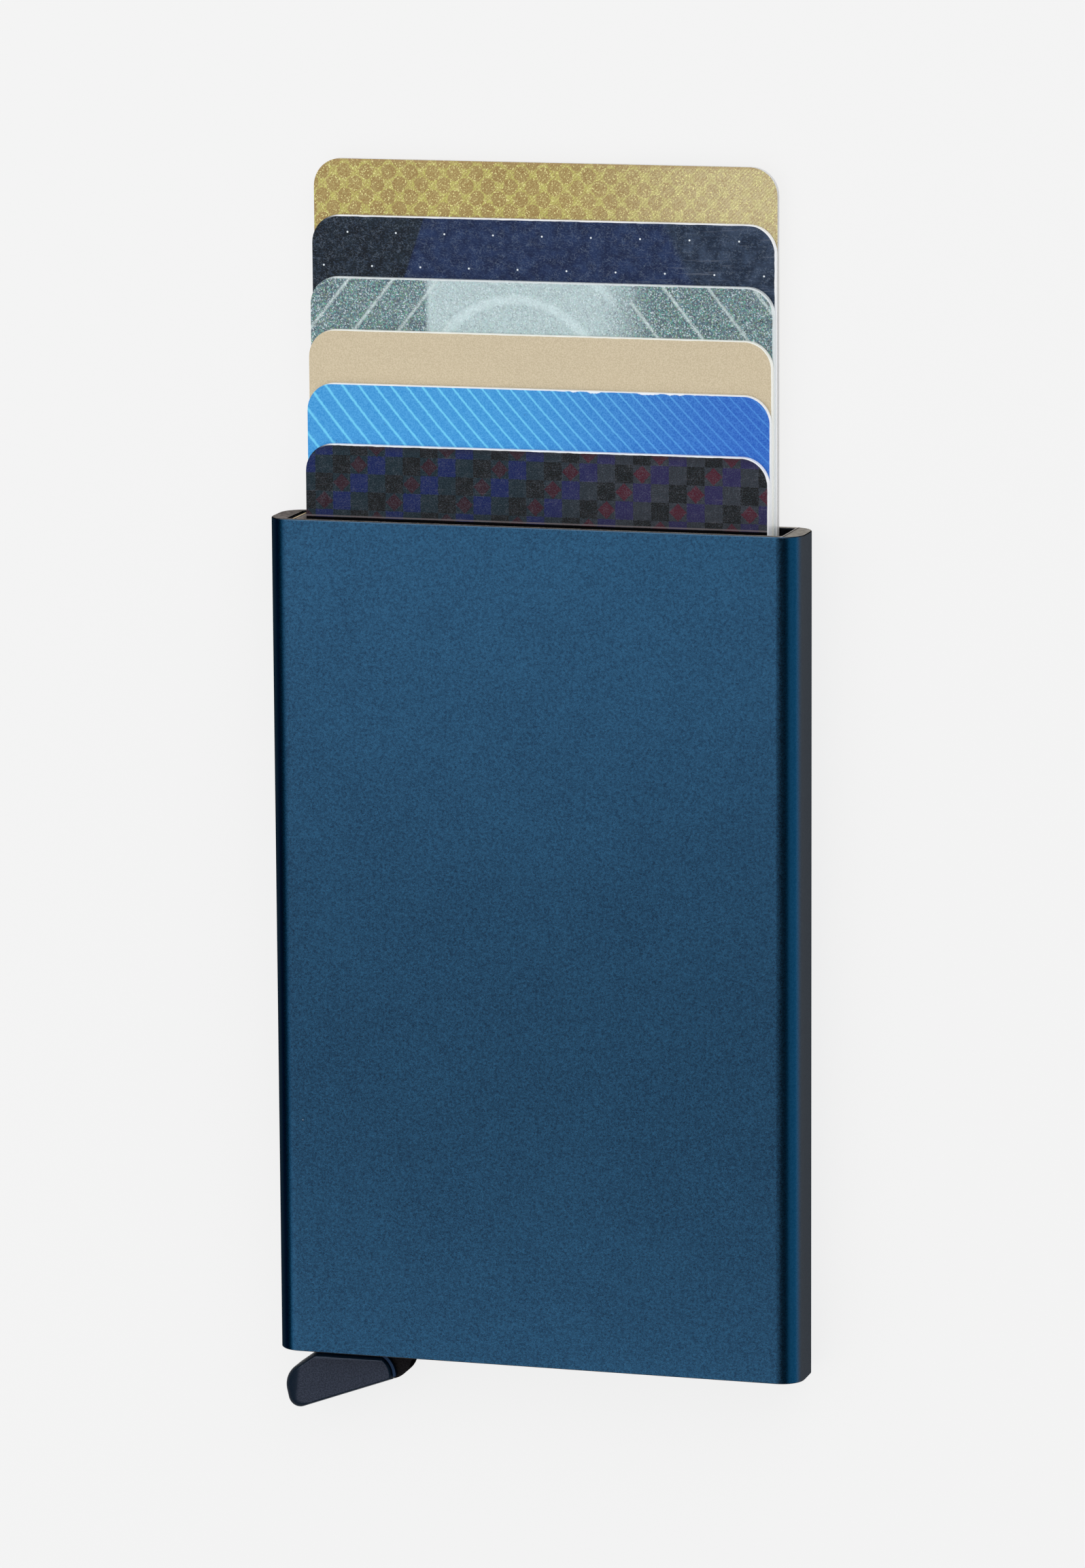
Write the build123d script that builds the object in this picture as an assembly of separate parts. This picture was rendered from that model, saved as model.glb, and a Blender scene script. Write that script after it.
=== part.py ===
"""Slim pop-up card holder: an aluminium sleeve with a finger lever that fans six cards out.

Millimetres. The holder lies on its back: +X across it, +Y along it towards the card mouth,
+Z through it towards its front. The origin is the middle of the sleeve's back face.
The cards and the lever stand as they do when the holder is open.
"""
import os
from math import cos, hypot, radians, sin, sqrt, tan

from build123d import *

# Cards: the standard plastic card and how a stack of them lies
card_width = 53.98
card_length = 85.60
card_thickness = 0.76
card_corner_radius = 3.18
card_gap = 0.06
card_colours = ("gold", "navy", "silver", "sand", "blue", "dark")
chip_colours = ("gold", "navy", "silver", "blue", "dark")

# How far each card's top edge stands above the mouth when open, rear card first
gold_rise = 40.4
navy_rise = 34.1
silver_rise = 27.2
sand_rise = 21.3
blue_rise = 15.3
dark_rise = 8.5
card_rises = (gold_rise, navy_rise, silver_rise, sand_rise, blue_rise, dark_rise)

# Contact module of a card, measured from the card's lower end and centre line
chip_width = 11.8
chip_length = 13.0
chip_depth = 0.25
chip_corner_radius = 1.6
chip_from_end = 15.1
chip_off_centre = 3.09
chip_clearance = 0.02

# Room that the stack has in the sleeve
left_gap = 1.96
right_gap = 1.76
back_gap = 0.15
front_gap = 0.99
closed_recess = 2.0
stop_clearance = 0.1

# Sleeve
broad_wall = 1.0
side_wall = 2.3
sleeve_corner_radius = 2.7
slot_corner_radius = 0.25
rim_chamfer = 0.08
slot_chamfer = 0.08

# Base housing, two halves in the foot of the sleeve
housing_height = 9.3
housing_fit = 0.05
housing_recess = 0.25
cheek_thickness = 0.6
cheek_radius = 4.6
bay_floor_height = 3.0
end_block_width = 2.9
lever_block_width = 8.0
pad_room_height = 3.6
pocket_width = 15.5

# Lever pivot, measured from the slot's left wall and the sleeve's lower end
pivot_inset = 11.05
pivot_height = 1.4
pin_radius = 0.75
pin_play = 0.05

# Lever hub, heel and stepped arm
lever_swing = 19.5
hub_radius = 3.2
hub_thickness = 2.6
heel_radius = 2.8
heel_drop = 1.9
heel_shift = 0.6
arm_reach = 43.0
arm_top_clearance = 0.3
arm_tip_depth = 2.7
arm_root_height = 2.1
arm_root_width = 2.4
arm_back_width = 1.5
arm_nose_radius = 0.5
arm_side_clearance = 0.1
cheek_clearance = 0.4

# Finger pad: a wedge from the hub to the holder's left side, measured from the pivot
pad_thickness = 4.2
pad_open_angle = 20.2
pad_top_drop = 2.0
pad_shoulder_reach = 9.27
pad_nose_reach = 13.36
pad_nose_drop = 5.01
pad_toe_reach = 12.42
pad_shoulder_radius = 0.9
pad_nose_radius = 2.8
pad_toe_radius = 1.35

# Bevels round the pad's two flat panels
pad_bevel_height = 0.9
pad_top_bevel = 0.55
pad_diagonal_bevel = 0.48
pad_tip_bevel = 1.6
pad_low_bevel = 0.38
pad_end_bevel = 0.35
# How far each layer of a bevel is drawn in and raised, from the pad's side to its panel
pad_bevel_shares = ((0, 0), (0.134, 0.5), (0.5, 0.866), (1, 1))

# The pad's rounded end, and the groove and the rib that follow it on the hub
pad_end_reach = 2.5
pad_end_drop = 4.2
pad_end_radius = 2.5
groove_width = 0.12
rib_width = 0.34
rib_thickness = 3.9
rib_inset = 0.3

# Tongue of the arm in the pad's socket
tongue_length = 7.5
tongue_overlap = 0.7
tongue_height = 1.6
tongue_thickness = 1.6

# Notch in the sleeve's left side that lets the pad swing home
notch_height = 3.4
notch_front_lip = 1.7
pad_side_clearance = 0.1

# Friction strips on the narrow sides
strip_end_gap = 0.05
spring_thickness = 0.2
spring_lean = 0.3
spring_foot_length = 6.0
spring_start = 0.7
spring_top_recess = 0.15
felt_left_thickness = 1.31
felt_right_thickness = 1.61
felt_start = 8.7
felt_right_start = 2.7
felt_right_top_recess = 7.0

# One overrun for every cut that passes through a face
overrun = 1.0

# Sizes that follow from the ones above
card_count = len(card_colours)
card_pitch = card_thickness + card_gap
slot_width = left_gap + card_width + right_gap
slot_depth = back_gap + card_count * card_pitch - card_gap + front_gap
sleeve_width = slot_width + 2 * side_wall
sleeve_thickness = slot_depth + 2 * broad_wall
sleeve_length = housing_height + stop_clearance + card_length + closed_recess
mouth_y = sleeve_length / 2
foot_y = -mouth_y
middle_z = sleeve_thickness / 2
slot_left_x = -slot_width / 2
slot_right_x = slot_width / 2
card_x = slot_left_x + left_gap + card_width / 2
card_back_z = broad_wall + back_gap
housing_left_x = slot_left_x + housing_fit
housing_right_x = slot_right_x - housing_fit
housing_low_y = foot_y + housing_recess
housing_top_y = foot_y + housing_height
housing_back_z = broad_wall + housing_fit
housing_front_z = sleeve_thickness - housing_back_z
cheek_back_z = housing_back_z + cheek_thickness
cheek_front_z = housing_front_z - cheek_thickness
bay_floor_y = foot_y + bay_floor_height
bay_left_x = housing_left_x + lever_block_width
bay_right_x = housing_right_x - end_block_width
pivot_x = slot_left_x + pivot_inset
pivot_y = foot_y + pivot_height
arm_top = housing_height - pivot_height - arm_top_clearance
arm_tip_low = arm_top - arm_tip_depth
card_travels = [rise + closed_recess for rise in card_rises]
strip_width = slot_depth - 2 * (slot_corner_radius + strip_end_gap)
strip_low_z = middle_z - strip_width / 2


def box(low, high):
    """A block between two opposite corners."""
    size = [b - a for a, b in zip(low, high)]
    middle = [(a + b) / 2 for a, b in zip(low, high)]
    return Pos(*middle) * Box(*size)


def plate(face, low_z, high_z):
    """A flat face in XY made into a plate between two heights."""
    return Pos(0, 0, low_z) * extrude(face, high_z - low_z)


def polygon(points):
    """A flat face in XY from its corners."""
    return make_face(Polyline(*points, close=True))


def across(radius, low_z, high_z):
    """A cylinder on the lever's pivot axis."""
    return plate(Pos(pivot_x, pivot_y) * Circle(radius), low_z, high_z)


def rounded_bar(width, thickness, radius):
    """A bar of rounded section as long as the sleeve, centred on it."""
    section = Plane.XZ * RectangleRounded(width, thickness, radius)
    bar = extrude(section, sleeve_length, dir=(0, 1, 0))
    return Pos(0, foot_y, middle_z) * bar


def make_sleeve():
    """The extruded sleeve, with its slot, softened rims and the notch for the finger pad."""
    bar = rounded_bar(sleeve_width, sleeve_thickness, sleeve_corner_radius)
    ends = bar.faces().filter_by(Axis.Y).edges()
    bar = chamfer(ends, rim_chamfer)
    slot = rounded_bar(slot_width, slot_depth, slot_corner_radius)
    sleeve = bar - slot
    lips = [e for e in sleeve.faces().filter_by(Axis.Y).edges() if is_slot_lip(e)]
    sleeve = chamfer(lips, slot_chamfer)
    notch_back_z = middle_z - pad_thickness / 2 - pad_side_clearance
    notch = box(
        (-sleeve_width / 2 - overrun, foot_y - overrun, notch_back_z),
        (slot_left_x + overrun, foot_y + notch_height, sleeve_thickness - notch_front_lip),
    )
    return sleeve - notch


def is_slot_lip(edge):
    """Whether an edge of an end face runs round the slot and not round the outside."""
    centre = edge.center()
    inside_x = abs(centre.X) <= slot_width / 2 + slot_chamfer / 2
    inside_z = abs(centre.Z - middle_z) <= slot_depth / 2 + slot_chamfer / 2
    return inside_x and inside_z


def make_housing():
    """The whole base housing, before it is split into a rear and a front half."""
    block = rounded_bar(
        housing_right_x - housing_left_x, housing_front_z - housing_back_z, slot_corner_radius
    )
    block &= box((-sleeve_width, housing_low_y, 0), (sleeve_width, housing_top_y, sleeve_thickness))
    bay = box(
        (bay_left_x, bay_floor_y, housing_back_z - overrun),
        (bay_right_x, housing_top_y + overrun, housing_front_z + overrun),
    )
    pocket_low = (housing_left_x - overrun, housing_low_y - overrun, cheek_back_z)
    pocket_high = (housing_left_x + pocket_width, foot_y + pad_room_height, cheek_front_z)
    housing = block - bay - box(pocket_low, pocket_high)
    cheek = across(cheek_radius, housing_back_z, housing_front_z)
    cheek -= across(cheek_radius + overrun, cheek_back_z, cheek_front_z)
    cheek -= box(
        (pivot_x - cheek_radius - overrun, foot_y - cheek_radius - overrun, 0),
        (pivot_x + cheek_radius + overrun, housing_low_y, sleeve_thickness),
    )
    housing += cheek
    return housing - across(pin_radius, 0, sleeve_thickness)


def housing_half(housing, low_z, high_z):
    """The slice of the base housing between two heights."""
    side = slot_width + overrun
    return housing & box((-side, foot_y - overrun, low_z), (side, mouth_y, high_z))


def make_pin():
    """The dowel that the lever turns on."""
    return across(pin_radius, housing_back_z, housing_front_z)


def heel_tangent():
    """Where the pad's straight lower edge runs into the heel, from the pivot."""
    slope = radians(pad_open_angle)
    return (-heel_shift + heel_radius * sin(slope), -heel_drop - heel_radius * cos(slope))


def at_pivot(points):
    """Points given from the pivot, moved to their place on the holder."""
    return [(pivot_x + u, pivot_y + v) for u, v in points]


def lower_edge_v(u):
    """Height of the pad's straight lower edge, from the pivot."""
    tangent_u, tangent_v = heel_tangent()
    return tangent_v + (u - tangent_u) * tan(radians(pad_open_angle))


def drawn_in(start, end, inset):
    """A side of the pad, moved towards the pad's inside."""
    run = end[0] - start[0]
    rise = end[1] - start[1]
    shift = (-rise * inset / hypot(run, rise), run * inset / hypot(run, rise))
    return [(u + shift[0], v + shift[1]) for u, v in (start, end)]


def meeting(first, second):
    """Where two lines cross, each given by two of its points."""
    (a, b), (c, d) = first
    (e, g), (h, k) = second
    run, rise = c - a, d - b
    share = ((e - a) * (k - g) - (g - b) * (h - e)) / (run * (k - g) - rise * (h - e))
    return (a + run * share, b + rise * share)


def on_pad_end(side, radius):
    """Where a side of the pad reaches its rounded end."""
    (a, b), (c, d) = side
    run, rise = (c - a) / hypot(c - a, d - b), (d - b) / hypot(c - a, d - b)
    along = (-pad_end_reach - a) * run + (-pad_end_drop - b) * rise
    foot = (a + run * along, b + rise * along)
    away = hypot(foot[0] + pad_end_reach, foot[1] + pad_end_drop)
    further = sqrt(radius**2 - away**2) * (1 if run > 0 else -1)
    return (foot[0] + run * further, foot[1] + rise * further)


def pad_face(share):
    """The finger pad's outline, drawn in by a share of the bevels."""
    shoulder = (-pad_shoulder_reach, -pad_top_drop)
    nose = (-pad_nose_reach, -pad_nose_drop)
    toe = (-pad_toe_reach, lower_edge_v(-pad_toe_reach))
    top = drawn_in((0, -pad_top_drop), shoulder, share * pad_top_bevel)
    diagonal = drawn_in(shoulder, nose, share * pad_diagonal_bevel)
    tip = drawn_in(nose, toe, share * pad_tip_bevel)
    low = drawn_in(toe, (0, lower_edge_v(0)), share * pad_low_bevel)
    radius = pad_end_radius - share * pad_end_bevel
    turns = [meeting(top, diagonal), meeting(diagonal, tip), meeting(tip, low)]
    corners = at_pivot([on_pad_end(top, radius)] + turns + [on_pad_end(low, radius)])
    bulge = at_pivot([(radius - pad_end_reach, -pad_end_drop)])[0]
    end = ThreePointArc(corners[4], bulge, corners[0])
    face = make_face(Polyline(*corners) + end)
    radii = (pad_shoulder_radius, pad_nose_radius, pad_toe_radius)
    for corner, radius in zip(corners[1:4], radii):
        face = fillet(nearest_corner(face, corner), radius)
    return face


def nearest_corner(shape, point):
    """The corner of a flat shape that lies nearest to a point."""
    return shape.vertices().sort_by_distance((point[0], point[1], 0))[0]


def tongue_face():
    """Outline of the bar that joins the arm to the finger pad, along the pad's middle."""
    u = pad_end_radius - pad_end_reach
    v = (lower_edge_v(u) - pad_top_drop) / 2
    bar = Pos((tongue_overlap - tongue_length) / 2, 0) * Rectangle(
        tongue_length + tongue_overlap, tongue_height
    )
    return Pos(pivot_x + u, pivot_y + v) * Rot(0, 0, pad_open_angle / 2) * bar


def make_pad():
    """The moulded finger pad: two bevelled panels and a socket for the arm's tongue."""
    half = pad_thickness / 2
    side_half = half - pad_bevel_height
    layers = [
        Pos(0, 0, side_half + pad_bevel_height * rise) * pad_face(inset)
        for inset, rise in pad_bevel_shares
    ]
    front = loft(layers)
    pad = plate(pad_face(0), -side_half, side_half) + front + mirror(front, Plane.XY)
    half_tongue = tongue_thickness / 2
    socket = plate(tongue_face(), -half_tongue, half_tongue)
    return Pos(0, 0, middle_z) * (pad - socket)


def arm_outline(reach):
    """One lane of the arm, from the pivot, as it lies when the holder is closed."""
    share = (reach - arm_root_width) / (arm_reach - arm_root_width)
    low = arm_root_height + (arm_tip_low - arm_root_height) * share
    return [
        (0, 0),
        (arm_root_width, arm_root_height),
        (reach, low),
        (reach, arm_top),
        (arm_back_width, arm_top),
        (-arm_back_width, arm_root_height),
    ]


def make_arm_lanes():
    """The stepped arm: one lane for each card, longest under the rear card, in the open position."""
    lanes = None
    for index, travel in enumerate(card_travels):
        reach = arm_reach * travel / max(card_travels)
        face = polygon(arm_outline(reach))
        face = fillet(nearest_corner(face, (reach, arm_top)), arm_nose_radius)
        low_z = card_back_z + index * card_pitch
        lane = plate(face, low_z, low_z + card_pitch)
        lanes = lane if lanes is None else lanes + lane
    return Pos(pivot_x, pivot_y) * Rot(0, 0, lever_swing) * lanes


def make_lever_arm():
    """Hub, heel, rib, tongue and stepped arm in one moulding."""
    hub_low = middle_z - hub_thickness / 2
    hub_high = middle_z + hub_thickness / 2
    room = cheek_radius + cheek_clearance
    lanes = make_arm_lanes()
    lanes -= across(room, 0, cheek_back_z + arm_side_clearance)
    lanes -= across(room, cheek_front_z - arm_side_clearance, sleeve_thickness)
    heel = Pos(pivot_x - heel_shift, pivot_y - heel_drop) * Circle(heel_radius)
    hub = across(hub_radius, hub_low, hub_high) + plate(heel, hub_low, hub_high)
    rib_half = rib_thickness / 2
    pad_end = Pos(pivot_x - pad_end_reach, pivot_y - pad_end_drop)
    rib = pad_end * Circle(pad_end_radius + groove_width + rib_width)
    rib &= Pos(pivot_x - heel_shift, pivot_y - heel_drop) * Circle(heel_radius - rib_inset)
    hub += plate(rib, middle_z - rib_half, middle_z + rib_half)
    hub -= plate(pad_end * Circle(pad_end_radius + groove_width), 0, sleeve_thickness)
    hub -= plate(pad_face(0), 0, sleeve_thickness)
    tongue_half = tongue_thickness / 2
    tongue = plate(tongue_face(), middle_z - tongue_half, middle_z + tongue_half)
    arm = lanes + hub + tongue
    return arm - across(pin_radius + pin_play, 0, sleeve_thickness)


def make_spring():
    """The leaf that leans from its foot on the sleeve's side towards the cards."""
    low_y = housing_top_y + spring_start
    bend_y = low_y + spring_foot_length
    top_y = mouth_y - spring_top_recess
    line = [(slot_left_x, low_y), (slot_left_x, bend_y), (slot_left_x + spring_lean, top_y)]
    back = [(x + spring_thickness, y) for x, y in reversed(line)]
    return plate(polygon(line + back), strip_low_z, strip_low_z + strip_width)


def make_left_felt():
    """The friction strip on the leaf, facing the cards' left edges."""
    bend_y = housing_top_y + spring_start + spring_foot_length
    top_y = mouth_y - spring_top_recess
    low_y = housing_top_y + felt_start
    low_x = slot_left_x + spring_lean * (low_y - bend_y) / (top_y - bend_y) + spring_thickness
    top_x = slot_left_x + spring_lean + spring_thickness
    corners = [
        (low_x, low_y),
        (top_x, top_y),
        (top_x + felt_left_thickness, top_y),
        (low_x + felt_left_thickness, low_y),
    ]
    return plate(polygon(corners), strip_low_z, strip_low_z + strip_width)


def make_right_felt():
    """The friction strip on the sleeve's right side, set below the mouth."""
    return box(
        (slot_right_x - felt_right_thickness, housing_top_y + felt_right_start, strip_low_z),
        (slot_right_x, mouth_y - felt_right_top_recess, strip_low_z + strip_width),
    )


def card_place(index):
    """Centre of a card's back face, for the card's place in the stack."""
    return (card_x, mouth_y + card_rises[index] - card_length / 2, card_back_z + index * card_pitch)


def chip_place(index):
    """Centre of a card's contact module, on the card's front face."""
    x, y, z = card_place(index)
    return (x - chip_off_centre, y - card_length / 2 + chip_from_end, z + card_thickness)


def make_card(index):
    """A plastic card, with the recess for its contact module where it has one."""
    face = RectangleRounded(card_width, card_length, card_corner_radius)
    card = Pos(*card_place(index)) * extrude(face, card_thickness)
    if card_colours[index] not in chip_colours:
        return card
    recess = RectangleRounded(chip_width, chip_length, chip_corner_radius)
    return card - Pos(*chip_place(index)) * extrude(recess, -chip_depth)


def make_chip(index):
    """A contact module, flush with the card's front face."""
    face = RectangleRounded(
        chip_width - 2 * chip_clearance, chip_length - 2 * chip_clearance, chip_corner_radius
    )
    return Pos(*chip_place(index)) * extrude(face, -chip_depth)


def main():
    """Make every piece and write each one to its own file."""
    housing = make_housing()
    pieces = {
        "case_sleeve": make_sleeve(),
        "base_housing_rear": housing_half(housing, housing_back_z, middle_z),
        "base_housing_front": housing_half(housing, middle_z, housing_front_z),
        "pivot_pin": make_pin(),
        "lever_arm": make_lever_arm(),
        "finger_pad": make_pad(),
        "side_spring": make_spring(),
        "side_felt_left": make_left_felt(),
        "side_felt_right": make_right_felt(),
    }
    for index, colour in enumerate(card_colours):
        pieces["card_" + colour] = make_card(index)
        if colour in chip_colours:
            pieces["chip_" + colour] = make_chip(index)
    os.makedirs("parts", exist_ok=True)
    for name, shape in pieces.items():
        export_step(shape, "parts/" + name + ".step")


main()
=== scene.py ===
"""Looks of the pop-up card holder: sleeve, finger lever, friction strips and six plastic cards."""
import math

import bmesh
import bpy
from mathutils import Matrix, Vector, noise


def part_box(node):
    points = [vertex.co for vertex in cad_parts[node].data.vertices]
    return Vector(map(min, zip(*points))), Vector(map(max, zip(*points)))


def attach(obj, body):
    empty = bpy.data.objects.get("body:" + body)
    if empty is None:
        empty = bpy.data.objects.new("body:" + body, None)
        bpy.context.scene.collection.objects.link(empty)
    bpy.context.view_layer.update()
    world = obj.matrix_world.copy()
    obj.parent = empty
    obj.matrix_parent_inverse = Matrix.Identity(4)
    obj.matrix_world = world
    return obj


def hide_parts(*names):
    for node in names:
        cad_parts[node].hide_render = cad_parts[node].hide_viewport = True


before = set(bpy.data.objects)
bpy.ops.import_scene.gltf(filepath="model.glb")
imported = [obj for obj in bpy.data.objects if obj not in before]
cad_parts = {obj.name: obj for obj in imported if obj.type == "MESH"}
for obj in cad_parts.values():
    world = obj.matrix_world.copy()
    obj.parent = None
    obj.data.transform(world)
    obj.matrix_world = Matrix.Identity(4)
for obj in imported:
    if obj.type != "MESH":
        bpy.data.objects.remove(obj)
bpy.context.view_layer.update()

MM = 0.001


def paint(red, green, blue):
    """A colour as the eye names it, 0 to 255, as the linear colour that a shader takes."""
    def linear(value):
        share = value / 255
        return share / 12.92 if share <= 0.04045 else ((share + 0.055) / 1.055) ** 2.4
    return (linear(red), linear(green), linear(blue), 1)


class Wire:
    """A node's output that Python's signs calculate with: each sign adds a Math node."""

    def __init__(self, finish, socket):
        self.finish = finish
        self.socket = socket

    def math(self, operation, *values):
        inputs = dict(enumerate(values))
        return self.finish.node("ShaderNodeMath", {"operation": operation}, inputs)

    def __add__(self, other):
        return self.math("ADD", self, other)

    __radd__ = __add__

    def __sub__(self, other):
        return self.math("SUBTRACT", self, other)

    def __rsub__(self, other):
        return self.math("SUBTRACT", other, self)

    def __mul__(self, other):
        return self.math("MULTIPLY", self, other)

    __rmul__ = __mul__

    def __truediv__(self, other):
        return self.math("DIVIDE", self, other)

    def __abs__(self):
        return self.math("ABSOLUTE", self)

    def __mod__(self, other):
        return self.math("FLOORED_MODULO", self, other)

    def floor(self):
        return self.math("FLOOR", self)

    def over(self, other):
        """The greater of two values."""
        return self.math("MAXIMUM", self, other)

    def root(self):
        return self.math("SQRT", self)

    def beyond(self, other):
        """1 where this value is greater, otherwise 0."""
        return self.math("GREATER_THAN", self, other)

    def to_line(self, period):
        """Distance to the nearest whole multiple of a period."""
        return self.math("PINGPONG", self, period / 2)

    def step(self, low, high):
        """0 at low, 1 at high, smooth between them."""
        inputs = {"Value": self, "From Min": low, "From Max": high}
        return self.finish.node("ShaderNodeMapRange", {"interpolation_type": "SMOOTHSTEP"}, inputs)


# The Mix node's sockets for colours share their names with others, so they go by their numbers
MIX_SHARE = 0
MIX_FIRST = 6
MIX_SECOND = 7
MIX_RESULT = 2

# The span of a noise's values over which a tone changes: the closer, the harder its blotches
HARD = (0.35, 0.65)
SOFT = (0.3, 0.7)


class Finish:
    """A material or the world as it is being made."""

    def __init__(self, name, holder=None):
        self.holder = holder or bpy.data.materials.new(name)
        self.holder.use_nodes = True
        self.tree = self.holder.node_tree
        self.tree.nodes.clear()

    def node(self, kind, settings=None, inputs=None, out=0):
        """Adds a node: first its settings, then the values or links of its sockets."""
        made = self.tree.nodes.new(kind)
        for key, value in (settings or {}).items():
            setattr(made, key, value)
        for key, value in (inputs or {}).items():
            if isinstance(value, Wire):
                self.tree.links.new(value.socket, made.inputs[key])
            else:
                made.inputs[key].default_value = value
        if isinstance(out, tuple):
            return [Wire(self, made.outputs[key]) for key in out]
        return Wire(self, made.outputs[out])

    def mix(self, share, first, second):
        """A colour between two colours."""
        inputs = {MIX_SHARE: share, MIX_FIRST: first, MIX_SECOND: second}
        return self.node("ShaderNodeMix", {"data_type": "RGBA"}, inputs, out=MIX_RESULT)

    def split(self, vector):
        return self.node("ShaderNodeSeparateXYZ", None, {"Vector": vector}, out=("X", "Y", "Z"))

    def join(self, x, y, z):
        return self.node("ShaderNodeCombineXYZ", None, {"X": x, "Y": y, "Z": z})

    def vector(self, operation, *values):
        inputs = dict(enumerate(values))
        return self.node("ShaderNodeVectorMath", {"operation": operation}, inputs)

    def place(self):
        """Where a point of the piece lies, in millimetres in the piece's own frame."""
        own = self.node("ShaderNodeTexCoord", out="Object")
        return self.vector("MULTIPLY", own, (1 / MM, 1 / MM, 1 / MM))

    def normal(self):
        """Which way the surface faces, as a vector."""
        return self.node("ShaderNodeNewGeometry", out="Normal")

    def facing(self):
        """Which way the surface faces, as x, y and z."""
        return self.split(self.normal())

    def noise(self, at, size, detail=2.0):
        """Soft noise whose blotches are about this many millimetres across."""
        inputs = {"Vector": at, "Scale": 1 / size, "Detail": detail}
        return self.node("ShaderNodeTexNoise", None, inputs)

    def wander(self, at, size, reach, detail=2.0):
        """A soft random shift, up to half the reach either way."""
        return (self.noise(at, size, detail) - 0.5) * reach

    def mottled(self, at, size, limits, first, second, detail=2.0):
        """Blotches of a second colour on a first, as hard as the noise's limits are close."""
        return self.mix(self.noise(at, size, detail).step(*limits), first, second)

    def cells(self, at, size):
        """Cells about this many millimetres across: how far, in cells, the nearest one's middle
        is, and its random colour.
        """
        inputs = {"Vector": at, "Scale": 1 / size}
        return self.node("ShaderNodeTexVoronoi", None, inputs, out=("Distance", "Color"))

    def bump(self, height, depth, strength):
        """Relief of this many millimetres."""
        inputs = {"Strength": strength, "Distance": depth * MM, "Height": height}
        return self.node("ShaderNodeBump", None, inputs)

    def shader(self, colour, **sockets):
        """The surface's shader. Names of sockets are written with _ for a space."""
        inputs = {key.replace("_", " "): value for key, value in sockets.items()}
        inputs["Base Color"] = colour
        return self.node("ShaderNodeBsdfPrincipled", None, inputs)

    def close(self, shader, kind="ShaderNodeOutputMaterial"):
        self.node(kind, None, {"Surface": shader}, out=())
        return self.holder


def put_on(material, *names):
    """Gives CAD nodes their finish."""
    for name in names:
        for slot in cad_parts[name].material_slots:
            slot.material = material


def line_mask(distance, half_width, softness):
    """1 on a line, 0 away from it, from the distance to it."""
    return distance.step(half_width + softness, half_width - softness)


def hypotenuse(one, other):
    """How far off a point is that lies this far one way and this far at right angles to it."""
    return (one * one + other * other).root()


# Sleeve

SLEEVE_BLUE = paint(9, 58, 94)
SLEEVE_BLUE_LIGHT = paint(56, 122, 168)
SLEEVE_BLUE_CORNER_SHADE = paint(19, 81, 122)
SLEEVE_BLUE_SHADE = paint(10, 28, 42)
SLEEVE_SIDE_SHADE = paint(56, 61, 67)
SLEEVE_SIDE_SHADE_GRAIN = paint(70, 75, 82)
SLOT_SHADE = paint(26, 28, 32)
LIP_SHADE = paint(34, 40, 48)
LIP_HIGHLIGHT = paint(110, 148, 182)
DUST = paint(210, 215, 220)
GRAZING_TINT = (0.05, 0.06, 0.08, 1)

# Sizes and places, in millimetres
SLEEVE_BACK, SLEEVE_FRONT = (corner.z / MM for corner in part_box("case_sleeve"))
SLEEVE_MIDDLE = (SLEEVE_BACK + SLEEVE_FRONT) / 2
SLOT_HALF_WIDTH = 28.85
SLOT_HALF_DEPTH = 3.0
WALL_MARGIN = 0.5
GRAIN_SIZE = 0.1
SPECKLE_SIZE = 0.3
CLOUD_SIZE = 9.0
PIT_SIZE = 0.12
PIT_DEPTH = 0.008
DUST_SPACING = 5.5

# The share of dust's cells that stay empty, and a grain's size as a share of a cell
DUST_RARITY = 0.93
DUST_RADIUS = 0.012

# How far in x or y the surface faces where a tone starts and where it is full
ROUNDED_RIGHT = (0.15, 0.45)
ROUNDED_LEFT = (-0.1, -0.4)
SIDE_RIGHT = (0.72, 0.95)
SIDE_LEFT = (-0.5, -0.85)
SHADED_LEFT = (-0.35, -0.6)
FLAT_LEFT = (-1.0, -0.98)
CUT_END = (0.85, 0.95)
SLOT_LIP = (0.5, 0.6)


def blue_grain(f, at, grain):
    """The coat's blue: fine grain and speckle over broad, faint clouds."""
    speckle = f.noise(at, SPECKLE_SIZE).step(*SOFT)
    cloud = f.noise(at, CLOUD_SIZE)
    tone = grain * 0.5 + speckle * 0.34 + cloud * 0.2 - 0.04
    return f.mix(tone, SLEEVE_BLUE, SLEEVE_BLUE_LIGHT)


def slot_walls(x, z):
    """1 on the walls inside the slot, which are painted near black as shade."""
    between = line_mask(abs(x), SLOT_HALF_WIDTH + WALL_MARGIN, 0.05)
    return between * line_mask(abs(z - SLEEVE_MIDDLE), SLOT_HALF_DEPTH + WALL_MARGIN, 0.05)


def mouth_lip(f, x, y, z, face_z):
    """The slot's chamfered lips in painted shade, with a painted highlight along the front of the
    upper mouth.
    """
    front = face_z.step(0.4, 0.5) * z.beyond(SLEEVE_FRONT - WALL_MARGIN) * y.beyond(0)
    front = front * line_mask(abs(x), SLOT_HALF_WIDTH, 1.0)
    return f.mix(front, LIP_SHADE, LIP_HIGHLIGHT)


CUT_METAL = paint(154, 148, 143)
CUT_METAL_DARK = paint(112, 106, 103)
CUT_METAL_LIT = paint(172, 168, 158)
CUT_METAL_SHADED = paint(70, 62, 62)
CUT_EDGE_SHADE = paint(44, 40, 40)
CUT_EDGE_HIGHLIGHT = paint(190, 184, 180)
CUT_GRAIN = 0.35
LIT_SIDE = (0, 30)
SHADED_SIDE = (-24, -31)
EDGE_SHADE_DEPTH = 0.4
EDGE_SHADE_SOFTNESS = 0.1
SLOT_SHADE_OUT = 0.3
SLOT_HIGHLIGHT_OUT = 0.1
SLOT_LINE_HALF_WIDTH = 0.1


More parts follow.
